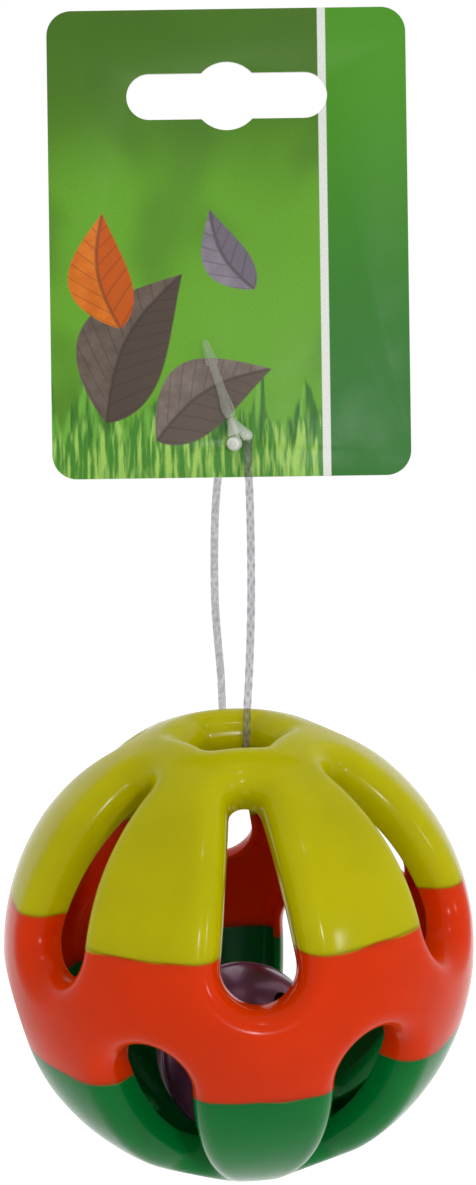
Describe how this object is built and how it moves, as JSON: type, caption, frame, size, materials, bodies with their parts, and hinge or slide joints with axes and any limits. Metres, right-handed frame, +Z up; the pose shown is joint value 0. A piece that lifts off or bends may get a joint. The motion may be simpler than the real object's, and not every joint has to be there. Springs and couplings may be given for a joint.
{
  "type": "rodent bell ball",
  "caption": "Hollow slotted plastic ball in three colours with a loose jingle bell inside, hung by a cord loop with a snap lock from a header card with a hang slot.",
  "frame": {"origin": "top edge of the header card's hang slot, at mid thickness, where a peg bears", "axes": "+Z up along the card, -Y to the front, where the snap lock lies, +X to the right as seen from the front"},
  "size_m": [0.075, 0.074, 0.1869],
  "materials": {
    "printed_card": "gloss varnish",
    "nylon_cord": "fine round braid",
    "clear_nylon": "natural moulded",
    "yellow_plastic": "gloss moulded",
    "orange_plastic": "gloss moulded",
    "green_plastic": "gloss moulded",
    "purple_lacquer": "clear coloured lacquer over bright steel",
    "bright_steel": "nickel plated"
  },
  "bodies": {
    "card": {"header_card": "printed_card"},
    "hang_loop": {"hang_cord": "nylon_cord", "lock_pin": "clear_nylon", "lock_socket": "clear_nylon"},
    "ball": {"shell_crown": "yellow_plastic", "shell_band": "orange_plastic", "shell_base": "green_plastic"},
    "bell": {"bell_upper_shell": "purple_lacquer", "bell_lower_shell": "purple_lacquer", "bell_shank": "bright_steel"},
    "pea": {"bell_pea": "bright_steel"}
  },
  "joints": [
    {"name": "loop_swing", "type": "hinge", "parent": "card", "child": "hang_loop", "pos_m": [0, 0, -0.0612], "axis": [0, 1, 0], "range_deg": [-30, 30]},
    {"name": "ball_rock", "type": "hinge", "parent": "hang_loop", "child": "ball", "pos_m": [0, 0, -0.1105], "axis": [1, 0, 0], "range_deg": [-12, 12]},
    {"name": "bell_roll", "type": "hinge", "parent": "ball", "child": "bell", "pos_m": [0, 0, -0.141], "axis": [0, 1, 0], "range_deg": [-140, 140]},
    {"name": "pea_roll", "type": "hinge", "parent": "bell", "child": "pea", "pos_m": [0, 0, -0.1579], "axis": [0, 1, 0], "continuous": true}
  ]
}
